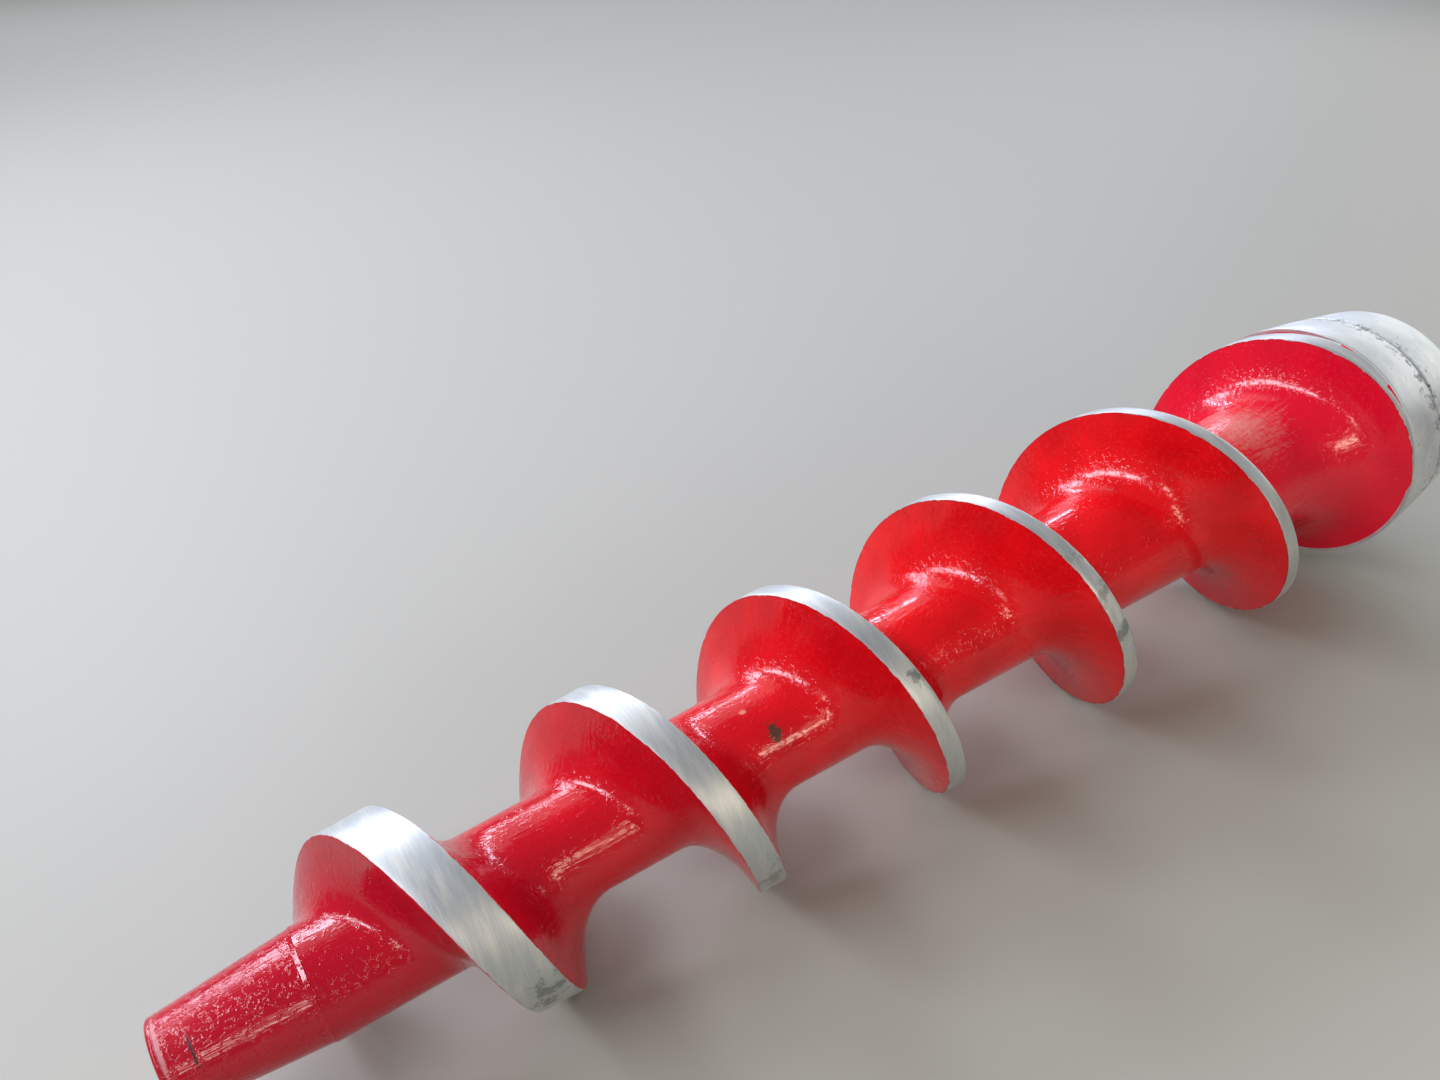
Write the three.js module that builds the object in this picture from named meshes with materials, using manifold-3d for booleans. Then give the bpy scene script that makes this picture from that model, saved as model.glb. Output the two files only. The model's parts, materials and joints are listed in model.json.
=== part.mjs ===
import * as THREE from "three";
import { mergeVertices } from "three/addons/utils/BufferGeometryUtils.js";
import Module from "manifold-3d";

// Plug screw of a plug screw feeder: a red painted core with one right-hand flight, a hard-faced rim that is
// left bare, and a bare machined hub at the large end. Millimetres. The screw is built along X, from the tip of
// its nose at X = 0 to the rear face of its hub, and is then laid on the floor.

// Nose
const NOSE_LENGTH = 190;
const NOSE_TIP_RADIUS = 63;
const NOSE_SHOULDER_RADIUS = 80;
const NOSE_CAP_THICKNESS = 8;
const NOSE_CAP_CHAMFER = 3;
const NOSE_SEAM_WIDTH = 6;
const NOSE_SEAM_RISE = 0.8;

// Core under the flight
const ROOT_FRONT_RADIUS = 82;
const ROOT_REAR_RADIUS = 142;
const ROOT_SWELL = 1.4;

// Outside of the flight: a cone from the nose, then a cylinder up to the hub
const ENVELOPE_FRONT_RADIUS = 172;
const HUB_RADIUS = 250;
const CONE_END_X = 1645;

// Hub
const HUB_FRONT_X = 2312;
const HUB_FLARE_LENGTH = 170;
const HUB_RIM_WIDTH = 6;
const HUB_NECK_X = 2429;
const HUB_NECK_WIDTH = 9;
const HUB_NECK_DEPTH = 9;
const HUB_NECK_RADIUS = 237;
const HUB_COLLAR_RADIUS = 235;
const HUB_REAR_X = 2573;
const HUB_REAR_RADIUS = 216;
const HUB_REAR_CHAMFER = 14;
const SOCKET_RADIUS = 110;
const SOCKET_END_X = 2375;
const SOCKET_CHAMFER = 6;

// Flight: the front edge of its rim follows a helix whose lead grows towards the hub
const HELIX_MIDDLE_X = 1024;
const LEAD_MIDDLE = 357;
const LEAD_DRIFT = 9.5;
const LEAD_GROWTH = 5;
const FLIGHT_END_X = 2345;
const FLIGHT_END_BEND = 135;
const FLIGHT_FIRST_TURN = -2.44;
const FLIGHT_TURN_ENDS = [-1.5, -0.5, 0.5, 1.5, 2.5];
const FLIGHT_LAST_TURN = 3.5;
const RIM_WIDTH_FRONT = 82;
const RIM_WIDTH_MIDDLE = 32;
const RIM_WIDTH_REAR = 45;
const RIM_THICKNESS = 12;
const FOOT_FRONT_NOSE = 50;
const FOOT_FRONT_HUB = 80;
const FOOT_FRONT_GROWTH = 3;
const FOOT_REAR = 95;
const FLANK_LEAN = 0.12;
const FILLET_HEIGHT = 0.66;
const FILLET_STEPS = 3;
const TOE_ANGLE = 18;
const FLANK_ANGLE = 70;

// Fits and facets
const GAP = 0.3;
const FACETS = 48;

const CONE_SLOPE = (HUB_RADIUS - ENVELOPE_FRONT_RADIUS) / (CONE_END_X - NOSE_LENGTH);

const RED_PAINT = { color: 0xc4141f, roughness: 0.3, metalness: 0.0 };
const BARE_STEEL = { color: 0xb9bdbc, roughness: 0.35, metalness: 0.9 };

const wasm = await Module();
wasm.setup();

const lerp = THREE.MathUtils.lerp;
const alongFlight = (x) => (x - NOSE_LENGTH) / (FLIGHT_END_X - NOSE_LENGTH);

// Smooth lesser of two values: it runs into the smaller one with a bend of the given size.
function softMin(a, b, bend) {
  return 0.5 * (a + b - Math.hypot(a - b, bend));
}

// A value that passes through three given ones at the nose, the middle and the hub.
function throughThree(front, middle, rear, s) {
  return front * (2 * s - 1) * (s - 1) + middle * 4 * s * (1 - s) + rear * s * (2 * s - 1);
}

function rootRadius(x) {
  const s = Math.max(alongFlight(x), 0);
  return lerp(ROOT_FRONT_RADIUS, ROOT_REAR_RADIUS, Math.min(s, 1) ** ROOT_SWELL);
}

function envelopeRadius(x) {
  const s = (x - NOSE_LENGTH) / (CONE_END_X - NOSE_LENGTH);
  return Math.min(lerp(ENVELOPE_FRONT_RADIUS, HUB_RADIUS, s), HUB_RADIUS);
}

// Front edge and width of the rim, after a number of turns from the middle one.
function rimFront(turns) {
  const helix = HELIX_MIDDLE_X + turns * (LEAD_MIDDLE + turns * (LEAD_DRIFT + turns * LEAD_GROWTH));
  return softMin(helix, FLIGHT_END_X, FLIGHT_END_BEND);
}

function rimWidth(x) {
  return throughThree(RIM_WIDTH_FRONT, RIM_WIDTH_MIDDLE, RIM_WIDTH_REAR, alongFlight(x));
}

// The front foot is short at the nose and soon grows to its full length.
function frontFoot(x) {
  const growth = Math.min(alongFlight(x) * FOOT_FRONT_GROWTH, 1);
  return lerp(FOOT_FRONT_NOSE, FOOT_FRONT_HUB, growth);
}

// A closed geometry as a solid that can be cut, and back again.
function toSolid(geometry) {
  const bare = geometry.clone();
  bare.deleteAttribute("normal");
  bare.deleteAttribute("uv");
  const merged = mergeVertices(bare, 1e-3);
  return new wasm.Manifold(
    new wasm.Mesh({
      numProp: 3,
      vertProperties: new Float32Array(merged.attributes.position.array),
      triVerts: new Uint32Array(merged.index.array),
    }),
  );
}

function toGeometry(solid) {
  const { vertProperties, triVerts } = solid.getMesh();
  const geometry = new THREE.BufferGeometry();
  geometry.setAttribute("position", new THREE.BufferAttribute(vertProperties, 3));
  geometry.setIndex(new THREE.BufferAttribute(triVerts, 1));
  geometry.computeVertexNormals();
  return geometry;
}

// Turned piece about X. The outline runs from the axis round to the axis, as [x, radius]. Half a facet of turn
// puts a flat of every piece at the bottom, where the screw lies.
function turned(outline) {
  const points = outline.map(([x, radius]) => new THREE.Vector2(radius, x));
  const geometry = new THREE.LatheGeometry(points, FACETS, Math.PI / FACETS);
  return geometry.rotateZ(-Math.PI / 2);
}

// Turned piece with a hole through it: the outline closes on itself.
function ring(outline) {
  return turned([...outline, outline[0]]);
}

// Helical piece: a section in (across, height) is swept over a stretch of turns and wrapped round the core.
function wound(section, firstTurn, lastTurn, place) {
  const steps = Math.round((lastTurn - firstTurn) * FACETS);
  const geometry = new THREE.ExtrudeGeometry(section, { depth: 1, steps, bevelEnabled: false });
  const position = geometry.attributes.position;
  for (let i = 0; i < position.count; i++) {
    const turns = lerp(firstTurn, lastTurn, position.getZ(i));
    const [x, radius] = place(position.getX(i), position.getY(i), turns);
    const angle = turns * 2 * Math.PI;
    position.setXYZ(i, x, -radius * Math.sin(angle), radius * Math.cos(angle));
  }
  return geometry;
}

// Section of the flight's body: 0 to 1 across is the rim, -1 to 0 the front foot and 1 to 2 the rear foot.
function bodySection() {
  const front = [];
  const rear = [];
  const flankAngle = THREE.MathUtils.degToRad(FLANK_ANGLE);
  const reach = (1 - FLANK_LEAN) / Math.sin(flankAngle);
  const rise = FILLET_HEIGHT / (1 - Math.cos(flankAngle));
  for (let i = 0; i <= FILLET_STEPS; i++) {
    const angle = THREE.MathUtils.degToRad(lerp(TOE_ANGLE, FLANK_ANGLE, i / FILLET_STEPS));
    const inset = -1 + reach * Math.sin(angle);
    const height = rise * (1 - Math.cos(angle));
    front.push(new THREE.Vector2(inset, height));
    rear.unshift(new THREE.Vector2(1 - inset, height));
  }
  const seat = [1, 0].map((across) => new THREE.Vector2(across, 0));
  const toe = front[0].x;
  return new THREE.Shape([
    new THREE.Vector2(toe, 0),
    ...front,
    new THREE.Vector2(0, 1),
    new THREE.Vector2(1, 1),
    ...rear,
    new THREE.Vector2(1 - toe, 0),
    ...seat,
  ].reverse());
}

function placeAcross(across, turns) {
  const front = rimFront(turns);
  const width = rimWidth(front);
  if (across < 0) return front + across * frontFoot(front);
  if (across > 1) return front + width + (across - 1) * FOOT_REAR;
  return front + across * width;
}

function placeBody(across, height, turns) {
  const x = placeAcross(across, turns);
  const seat = rootRadius(x) + GAP;
  return [x, lerp(seat, envelopeRadius(x) - RIM_THICKNESS - GAP, height)];
}

function placeRim(across, height, turns) {
  const x = placeAcross(across, turns);
  return [x, envelopeRadius(x) - RIM_THICKNESS * (1 - height)];
}

function rimSection() {
  const corners = [[0, 0], [1, 0], [1, 1], [0, 1]];
  return new THREE.Shape(corners.map(([across, height]) => new THREE.Vector2(across, height)));
}

// The hub's painted front: a fillet from the core up to a narrow rim.
function flareOutline(grow) {
  const start = HUB_FRONT_X - HUB_FLARE_LENGTH;
  const outline = [[start - grow, 0]];
  const high = HUB_RADIUS - HUB_RIM_WIDTH;
  for (let i = 0; i <= 8; i++) {
    const angle = (i / 8) * (Math.PI / 2);
    const x = start + HUB_FLARE_LENGTH * Math.sin(angle);
    outline.push([x - grow, lerp(rootRadius(x), high, 1 - Math.cos(angle)) + grow]);
  }
  outline.push([HUB_FRONT_X - grow, HUB_RADIUS + grow]);
  outline.push([HUB_FRONT_X + HUB_RIM_WIDTH + grow, HUB_RADIUS + grow]);
  outline.push([HUB_FRONT_X + HUB_RIM_WIDTH + grow, 0]);
  return outline;
}

const screw = new THREE.Group();

function add(name, geometry, finish) {
  const mesh = new THREE.Mesh(geometry, new THREE.MeshStandardMaterial(finish));
  mesh.name = name;
  screw.add(mesh);
}

// Nose
add(
  "nose_end_cap",
  turned([
    [0, 0],
    [0, NOSE_TIP_RADIUS - NOSE_CAP_CHAMFER],
    [NOSE_CAP_CHAMFER, NOSE_TIP_RADIUS],
    [NOSE_CAP_THICKNESS, NOSE_TIP_RADIUS],
    [NOSE_CAP_THICKNESS, 0],
  ]),
  BARE_STEEL,
);
add(
  "nose_stub",
  turned([
    [NOSE_CAP_THICKNESS + GAP, 0],
    [NOSE_CAP_THICKNESS + GAP, NOSE_TIP_RADIUS],
    [NOSE_LENGTH - NOSE_SEAM_WIDTH - GAP, NOSE_SHOULDER_RADIUS],
    [NOSE_LENGTH - NOSE_SEAM_WIDTH - GAP, 0],
  ]),
  RED_PAINT,
);
add(
  "nose_seam_ring",
  turned([
    [NOSE_LENGTH - NOSE_SEAM_WIDTH, 0],
    [NOSE_LENGTH - NOSE_SEAM_WIDTH, NOSE_SHOULDER_RADIUS],
    [NOSE_LENGTH - NOSE_SEAM_WIDTH / 2, NOSE_SHOULDER_RADIUS + NOSE_SEAM_RISE],
    [NOSE_LENGTH, ROOT_FRONT_RADIUS - NOSE_SEAM_RISE],
    [NOSE_LENGTH, 0],
  ]),
  RED_PAINT,
);

// Core
const flareStart = HUB_FRONT_X - HUB_FLARE_LENGTH;
const rootOutline = [[NOSE_LENGTH + GAP, 0]];
for (let i = 0; i <= 10; i++) {
  const x = lerp(NOSE_LENGTH + GAP, flareStart - GAP, i / 10);
  rootOutline.push([x, rootRadius(x)]);
}
rootOutline.push([flareStart - GAP, 0]);
add("root_shaft", turned(rootOutline), RED_PAINT);

// Flight, one node for each turn, cut square by the plane of the nose shoulder and fitted to the hub's front
const halfStation = 0.5 / FACETS;
const ends = [FLIGHT_FIRST_TURN, ...FLIGHT_TURN_ENDS, FLIGHT_LAST_TURN];
const keepOut = toSolid(turned(flareOutline(GAP)));
const room = new THREE.BoxGeometry(HUB_FRONT_X - NOSE_LENGTH - 2 * GAP, 4 * HUB_RADIUS, 4 * HUB_RADIUS);
const between = toSolid(room.translate((HUB_FRONT_X + NOSE_LENGTH) / 2, 0, 0));
for (let i = 0; i + 1 < ends.length; i++) {
  const first = Math.round(ends[i] * FACETS) / FACETS + halfStation;
  const last = Math.round(ends[i + 1] * FACETS) / FACETS + halfStation;
  const fit = (geometry) => toGeometry(toSolid(geometry).intersect(between).subtract(keepOut));
  add(`flight_turn_${i + 1}`, fit(wound(bodySection(), first, last, placeBody)), RED_PAINT);
  add(`rim_strip_${i + 1}`, fit(wound(rimSection(), first, last, placeRim)), BARE_STEEL);
}

// Hub
add("hub_flare", turned(flareOutline(0)), RED_PAINT);
const drumFront = HUB_FRONT_X + HUB_RIM_WIDTH + GAP;
add(
  "hub_drum",
  turned([
    [drumFront, 0],
    [drumFront, HUB_RADIUS],
    [HUB_NECK_X - GAP, HUB_NECK_RADIUS],
    [HUB_NECK_X - GAP, SOCKET_RADIUS],
    [SOCKET_END_X, SOCKET_RADIUS],
    [SOCKET_END_X, 0],
  ]),
  BARE_STEEL,
);
add(
  "hub_neck",
  ring([
    [HUB_NECK_X, HUB_NECK_RADIUS - HUB_NECK_DEPTH],
    [HUB_NECK_X + HUB_NECK_WIDTH, HUB_NECK_RADIUS - HUB_NECK_DEPTH],
    [HUB_NECK_X + HUB_NECK_WIDTH, SOCKET_RADIUS],
    [HUB_NECK_X, SOCKET_RADIUS],
  ]),
  BARE_STEEL,
);
const collarFront = HUB_NECK_X + HUB_NECK_WIDTH + GAP;
add(
  "hub_collar",
  ring([
    [collarFront, HUB_COLLAR_RADIUS],
    [HUB_REAR_X - HUB_REAR_CHAMFER, HUB_REAR_RADIUS],
    [HUB_REAR_X, HUB_REAR_RADIUS - HUB_REAR_CHAMFER],
    [HUB_REAR_X, SOCKET_RADIUS + SOCKET_CHAMFER],
    [HUB_REAR_X - SOCKET_CHAMFER, SOCKET_RADIUS],
    [collarFront, SOCKET_RADIUS],
  ]),
  BARE_STEEL,
);

// Laid down: the cone's slope decides how the axis lies, and the origin is under the middle of the screw.
screw.rotation.y = -Math.atan(CONE_SLOPE);
const part = new THREE.Group();
part.add(screw);
part.updateMatrixWorld(true);
const box = new THREE.Box3().setFromObject(screw, true);
const middle = box.getCenter(new THREE.Vector3());
screw.position.set(-middle.x, 0, -box.min.z);

export default part;
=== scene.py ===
"""Plug screw of a plug screw feeder, lying on the floor on the rims of its flight.

A red enamelled casting carries one right-hand flight. Its ground rim, its turned hub and the face of its nose are
bare steel. Sizes are metres, along the screw's own axis from the tip of the nose at 0 to the rear face of the hub.
"""

import json
import logging
import math
from collections.abc import Callable, Mapping
from dataclasses import dataclass
from enum import Enum

import bmesh
import bpy
from mathutils import Matrix, Vector


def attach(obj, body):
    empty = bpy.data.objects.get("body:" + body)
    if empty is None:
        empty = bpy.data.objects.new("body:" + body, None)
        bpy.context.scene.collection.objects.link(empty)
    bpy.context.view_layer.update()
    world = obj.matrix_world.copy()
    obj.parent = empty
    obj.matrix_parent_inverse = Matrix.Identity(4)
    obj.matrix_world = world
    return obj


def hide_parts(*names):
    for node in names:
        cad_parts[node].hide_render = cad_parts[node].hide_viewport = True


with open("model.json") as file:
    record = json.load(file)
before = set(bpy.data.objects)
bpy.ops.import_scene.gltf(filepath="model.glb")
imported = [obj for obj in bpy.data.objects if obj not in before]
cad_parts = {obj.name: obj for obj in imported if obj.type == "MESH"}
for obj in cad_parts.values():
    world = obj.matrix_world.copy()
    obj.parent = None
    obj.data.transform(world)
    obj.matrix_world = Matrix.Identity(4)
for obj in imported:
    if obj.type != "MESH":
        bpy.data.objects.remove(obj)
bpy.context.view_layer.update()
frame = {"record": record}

log = logging.getLogger("plug_screw")

Outline = list[tuple[float, float]]
MM = 0.001
MIDDLE = 0.5  # mean of a noise pattern, which runs from 0 to 1


def linear(code: str) -> tuple[float, float, float, float]:
    """Turns a colour as the eye names it into one for the renderer.

    Args:
        code: sRGB colour as six hex digits.

    Returns:
        The colour as linear red, green, blue and an alpha of one.
    """
    shades = [int(code[i : i + 2], 16) / 255 for i in (0, 2, 4)]
    red, green, blue = (s / 12.92 if s <= 0.04045 else ((s + 0.055) / 1.055) ** 2.4 for s in shades)
    return (red, green, blue, 1.0)


def fill(tree: bpy.types.NodeTree, into: bpy.types.NodeSocket, value: object) -> None:
    """Links an input to a socket or a formula, or sets it to a plain value.

    Args:
        tree: Node tree that holds the input.
        into: The input.
        value: Socket, formula or plain value.
    """
    source = value.socket if isinstance(value, Formula) else value
    if isinstance(source, bpy.types.NodeSocket):
        tree.links.new(source, into)
    else:
        into.default_value = source


def add_node(
    tree: bpy.types.NodeTree, kind: str, links: Mapping[str | int, object] | None = None, **settings: object
) -> bpy.types.Node:
    """Adds a node with its settings, and links or fills its inputs.

    Args:
        tree: Node tree that gets the node.
        kind: Blender's name for the kind of node.
        links: Value, socket or formula for each input, by the input's name or number.
        settings: Properties of the node, set before its inputs are looked up.

    Returns:
        The new node.
    """
    node = tree.nodes.new(kind)
    for name, value in settings.items():
        setattr(node, name, value)
    for key, value in (links or {}).items():
        sockets = [socket for socket in node.inputs if socket.enabled]
        into = node.inputs[key] if isinstance(key, int) else next(s for s in sockets if s.name == key)
        fill(tree, into, value)
    return node


class Formula:
    """A value that varies over a shape or a surface, written in sums as a plain number is."""

    def __init__(self, tree: bpy.types.NodeTree, socket: bpy.types.NodeSocket) -> None:
        """Keeps the tree and the socket that the value comes from."""
        self.tree = tree
        self.socket = socket

    def join(self, operation: str, *others: object, clamp: bool = False) -> "Formula":
        """Works this value together with others.

        Args:
            operation: Blender's name for the sum.
            others: Numbers or formulas that come after this one in the sum.
            clamp: Whether the result is kept from 0 to 1.

        Returns:
            The result as a new formula.
        """
        terms = dict(enumerate((self, *others)))
        node = add_node(self.tree, "ShaderNodeMath", terms, operation=operation, use_clamp=clamp)
        return Formula(self.tree, node.outputs[0])

    def __add__(self, other: object) -> "Formula":
        """This value plus another."""
        return self.join("ADD", other)

    def __sub__(self, other: object) -> "Formula":
        """This value less another."""
        return self.join("SUBTRACT", other)

    def __mul__(self, other: object) -> "Formula":
        """This value times another."""
        return self.join("MULTIPLY", other)

    def __truediv__(self, other: object) -> "Formula":
        """This value divided by another."""
        return self.join("DIVIDE", other)

    def __pow__(self, other: object) -> "Formula":
        """This value to the power of another."""
        return self.join("POWER", other)

    def towards(self, other: object, share: object) -> "Formula":
        """This value moved by a share of the way to another."""
        return (share * -1 + 1) * self + share * other

    def clamped(self) -> "Formula":
        """This value kept from 0 to 1."""
        return self.join("ADD", 0.0, clamp=True)

    def ramp(self, low: object, high: object) -> "Formula":
        """Share that goes from 0 where this value is low to 1 where it is high."""
        return ((self - low) / (high - low)).clamped()


@dataclass(frozen=True)
class ScrewForm:
    """Driving sizes of the screw."""

    nose_length: float = 0.190
    nose_tip_radius: float = 0.063
    nose_shoulder_radius: float = 0.080
    nose_cap_thickness: float = 0.008
    nose_cap_chamfer: float = 0.003
    nose_seam_width: float = 0.006
    core_front_radius: float = 0.082
    core_rear_radius: float = 0.142
    core_swell: float = 1.4
    envelope_front_radius: float = 0.172
    hub_radius: float = 0.250
    cone_end: float = 1.645
    hub_front: float = 2.312
    flare_length: float = 0.170
    hub_rim_width: float = 0.006
    neck_front: float = 2.429
    neck_width: float = 0.009
    neck_depth: float = 0.009
    neck_radius: float = 0.237
    collar_radius: float = 0.235
    hub_rear: float = 2.573
    hub_rear_radius: float = 0.216
    hub_rear_chamfer: float = 0.014
    socket_radius: float = 0.110
    socket_end: float = 2.375
    socket_chamfer: float = 0.006
    mount_radius: float = 0.163
    helix_middle: float = 1.024
    lead_middle: float = 0.357
    lead_drift: float = 0.0095
    lead_growth: float = 0.005
    flight_end: float = 2.345
    flight_end_bend: float = 0.135
    first_turn: float = -2.427
    last_turn: float = 3.5
    rim_width_front: float = 0.082
    rim_width_middle: float = 0.032
    rim_width_rear: float = 0.045
    front_foot_nose: float = 0.050
    front_foot_hub: float = 0.080
    front_foot_growth: float = 3.0
    rear_foot: float = 0.095
    flank_lean: float = 0.12
    fillet_height: float = 0.66
    flank_angle: float = math.radians(70)
    gap: float = 0.0003
    flats: int = 48
    turns: int = 6

    @property
    def round_share(self) -> float:
        """Share of a flat-sided solid's radius that a round one inside it has."""
        return math.cos(math.pi / self.flats)

    def along_flight(self, x: float) -> float:
        """Place along the flight, 0 at the nose and 1 at the hub."""
        return (x - self.nose_length) / (self.flight_end - self.nose_length)

    def core_at(self, x: float) -> float:
        """Radius of the core at a place along the axis."""
        share = min(max(self.along_flight(x), 0.0), 1.0) ** self.core_swell
        return self.core_front_radius + (self.core_rear_radius - self.core_front_radius) * share

    def laid_down(self, mount: Mapping[str, object]) -> Matrix:
        """Works out how the screw lies from the mount on its rear face.

        Args:
            mount: The drive end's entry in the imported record.

        Returns:
            The matrix that takes a point from the screw's own axes to the floor's.
        """
        along = Vector(mount["axis"]).normalized()
        across = Vector((0.0, 1.0, 0.0))
        up = along.cross(across)
        tip = Vector(mount["pos_m"]) - along * self.hub_rear - up * self.mount_radius
        turned = Matrix((along, across, up)).transposed().to_4x4()
        return Matrix.Translation(tip) @ turned


FORM = ScrewForm()
LAID = FORM.laid_down(frame["record"]["mounts"][0])


class Slot(Enum):
    """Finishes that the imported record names."""

    CORE = "red_enamel_core"
    FLIGHT = "red_enamel_flight"
    NOSE = "red_enamel_nose"
    RIM = "hard_faced_rim"
    STEEL = "turned_steel"
    NOSE_END = "nose_end_steel"


class Surface:
    """Node tree of one finish, with the screw's own coordinates as formulas."""

    def __init__(self, name: str) -> None:
        """Starts a material whose places are measured along and around the screw.

        Args:
            name: Name of the material.
        """
        self.material = bpy.data.materials.new(name)
        self.material.use_nodes = True
        self.tree = self.material.node_tree
        self.shader = self.tree.nodes["Principled BSDF"]
        place = add_node(self.tree, "ShaderNodeTexCoord").outputs["Object"]
        own = add_node(
            self.tree,
            "ShaderNodeMapping",
            {"Vector": place, "Location": LAID.translation, "Rotation": LAID.to_euler()},
            vector_type="TEXTURE",
        )
        self.place = own.outputs[0]
        parts = add_node(self.tree, "ShaderNodeSeparateXYZ", {0: self.place})
        self.x, across, up = (Formula(self.tree, socket) for socket in parts.outputs)
        self.radius = (across * across + up * up).join("SQRT")
        self.cosine = up / self.radius
        self.sine = across / self.radius * -1

    def value(self, kind: str, links: Mapping[str | int, object], **settings: object) -> Formula:
        """First output of a new node, as a formula."""
        return Formula(self.tree, add_node(self.tree, kind, links, **settings).outputs[0])

    def wound(self, along: float, around: float) -> dict[str, object]:
        """Coordinates for marks that run round the axis, with no seam.

        Args:
            along: Width of one mark, in metres.
            around: Length of one mark at the rim, in metres.

        Returns:
            Vector and fourth coordinate for a 4D pattern of scale 1.
        """
        turn = FORM.hub_radius / around
        vector = add_node(
            self.tree,
            "ShaderNodeCombineXYZ",
            {0: self.x * (1 / along), 1: self.cosine * turn, 2: self.sine * turn},
        )
        return {"Vector": vector.outputs[0], "W": self.radius * (1 / along)}

    def near(self, mark: "Mark", ragged: object) -> Formula:
        """How much a point belongs to a mark on the surface.

        Args:
            mark: The mark and its reach.
            ragged: Value that is added to the distance, to break the edge.

        Returns:
            A formula that is the mark's strength in it and 0 away from it.
        """
        turn = math.radians(mark.angle)
        along = (self.x - mark.x) / mark.reach_along
        over = (self.cosine * self.radius - mark.radius * math.cos(turn)) / mark.reach_around
        down = (self.sine * self.radius - mark.radius * math.sin(turn)) / mark.reach_around
        distance = (along * along + over * over + down * down).join("SQRT")
        return ((distance + ragged) * -mark.edge + mark.edge).clamped() * mark.strength

    def mix(self, share: object, low: object, high: object) -> bpy.types.NodeSocket:
        """Colour between two others, by a share."""
        links = {"Factor": share, "A": low, "B": high}
        return add_node(self.tree, "ShaderNodeMix", links, data_type="RGBA").outputs["Result"]

    def finish(self, **inputs: object) -> bpy.types.Material:
        """Sets the shader's inputs and gives the material.

        Args:
            inputs: Value, socket or formula for each input, with spaces in its name as underscores.

        Returns:
            The finished material.
        """
        for name, value in inputs.items():
            fill(self.tree, self.shader.inputs[name.replace("_", " ")], value)
        return self.material

    def bump(self, height: Formula) -> bpy.types.NodeSocket:
        """Normal of a surface whose relief is given in metres."""
        return add_node(self.tree, "ShaderNodeBump", {"Height": height, "Distance": 1.0}).outputs[0]


@dataclass(frozen=True)
class Mark:
    """A chip, scratch, stain or dusty patch, by its place round the screw, its reach and its colour.

    The larger its edge, the more sharply it ends.
    """

    x: float
    angle: float
    radius: float
    reach_along: float
    reach_around: float
    colour: str
    strength: float = 1.0
    edge: float = 2.5


@dataclass(frozen=True)
class BrushedEnamel:
    """Gloss alkyd enamel brushed over a rough casting: red with broken highlights, and crimson near both ends."""

    name: str = "brushed_gloss_enamel"
    fresh: str = "F01018"
    thin: str = "CC0B13"
    deep: str = "A60A26"
    deep_share: float = 0.8
    deepest_at: float = 0.20
    deep_to: float = 1.15
    crimson: str = "DC1238"
    crimson_share: float = 0.55
    crimson_from: float = 1.90
    crimson_to: float = 2.15
    # Real brush marks are 1 to 2 mm apart and real nibs 1 to 3 mm wide. Both are drawn coarser, so that they show.
    stroke_length: float = 60 * MM
    stroke_width: float = 13 * MM
    stroke_depth: float = 0.6 * MM
    nib_width: float = 7.7 * MM
    nib_height: float = 2.3 * MM
    nib_from: float = 0.53
    sag_width: float = 90 * MM
    sag_depth: float = 1.2 * MM
    sag_share: float = 0.7
    thin_to: float = 0.35
    thick_from: float = 0.80
    gloss_rough: float = 0.075
    stroke_rough: float = 0.12
    nib_ragged: float = 1.2
    stroke_ragged: float = 1.6
    worn_share: float = 0.45
    worn_rough: float = 0.55
    marks: tuple[Mark, ...] = ()

    def build(self) -> bpy.types.Material:
        """Builds the enamel, with brush strokes along the core and up the flight, its sags and its marks."""
        s = Surface(self.name)
        stroke = s.value(
            "ShaderNodeTexNoise",
            {**s.wound(self.stroke_length, self.stroke_width), "Scale": 1.0, "Detail": 2.0},
            noise_dimensions="4D",
        )
        sag = s.value("ShaderNodeTexNoise", {"Vector": s.place, "Scale": 1 / self.sag_width, "Detail": 1.0})
        peel = s.value(
            "ShaderNodeTexNoise",
            {"Vector": s.place, "Scale": 1 / self.nib_width, "Detail": 2.5, "Roughness": 0.6},
        )
        nibs = (peel - self.nib_from).join("MAXIMUM", 0.0)
        thickness = sag * self.sag_share + stroke * (1 - self.sag_share)
        colour = s.mix(thickness.ramp(self.thin_to, self.thick_from), linear(self.thin), linear(self.fresh))
        depth = s.x.ramp(self.deep_to, self.deepest_at) * self.deep_share
        colour = s.mix(depth, colour, linear(self.deep))
        tint = s.x.ramp(self.crimson_from, self.crimson_to) * self.crimson_share
        colour = s.mix(tint, colour, linear(self.crimson))
        ragged = (peel - MIDDLE) * self.nib_ragged + (stroke - MIDDLE) * self.stroke_ragged
        rough = stroke * self.stroke_rough + self.gloss_rough
        for mark in self.marks:
            share = (s.near(mark, ragged) * (stroke + self.worn_share)).clamped()
            colour = s.mix(share, colour, linear(mark.colour))
            rough = rough.towards(self.worn_rough, share)
        relief = stroke * self.stroke_depth + nibs * self.nib_height + sag * self.sag_depth
        return s.finish(Base_Color=colour, Roughness=rough, IOR=1.5, Normal=s.bump(relief))


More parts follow.
